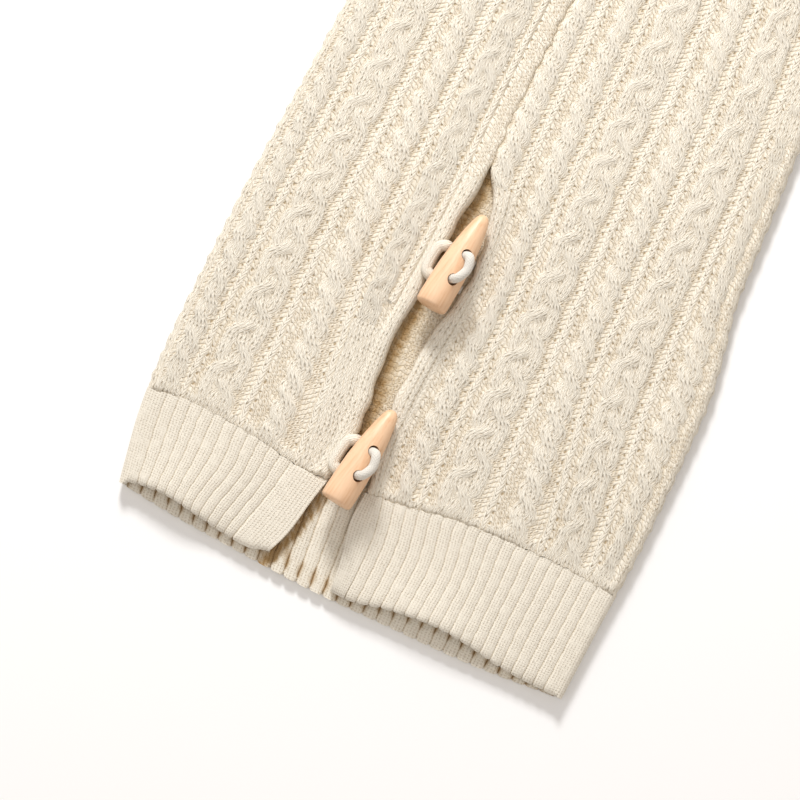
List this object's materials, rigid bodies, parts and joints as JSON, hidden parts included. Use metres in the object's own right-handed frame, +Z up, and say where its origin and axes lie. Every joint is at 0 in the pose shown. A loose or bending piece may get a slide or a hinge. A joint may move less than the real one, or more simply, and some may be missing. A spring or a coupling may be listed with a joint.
{
  "type": "pair of leg warmers",
  "caption": "Pair of chunky cable-knit leg warmers lying flat, with ribbed cuffs and a front slit closed by wooden toggles",
  "frame": {"origin": "on the resting surface, midway between the two leg warmers and midway along their length", "axes": "+X from the pictured leg warmer towards its mirror image, +Y from the hems to the upper cuffs, +Z up off the surface they lie on"},
  "size_m": [0.503, 0.3431, 0.0231],
  "materials": {
    "ivory_knit": "matte",
    "toggle_wood": "satin",
    "cord": "matte"
  },
  "bodies": {
    "root": {"left_cable_body": "ivory_knit", "left_hem_rib": "ivory_knit", "left_top_rib": "ivory_knit", "left_slit_band_a": "ivory_knit", "left_slit_band_b": "ivory_knit", "left_toggle_upper": "toggle_wood", "left_toggle_cord_upper": "cord", "left_loop_upper": "cord", "left_toggle_lower": "toggle_wood", "left_toggle_cord_lower": "cord", "left_loop_lower": "cord", "right_cable_body": "ivory_knit", "right_hem_rib": "ivory_knit", "right_top_rib": "ivory_knit", "right_slit_band_a": "ivory_knit", "right_slit_band_b": "ivory_knit", "right_toggle_upper": "toggle_wood", "right_toggle_cord_upper": "cord", "right_loop_upper": "cord", "right_toggle_lower": "toggle_wood", "right_toggle_cord_lower": "cord", "right_loop_lower": "cord"}
  },
  "joints": []
}
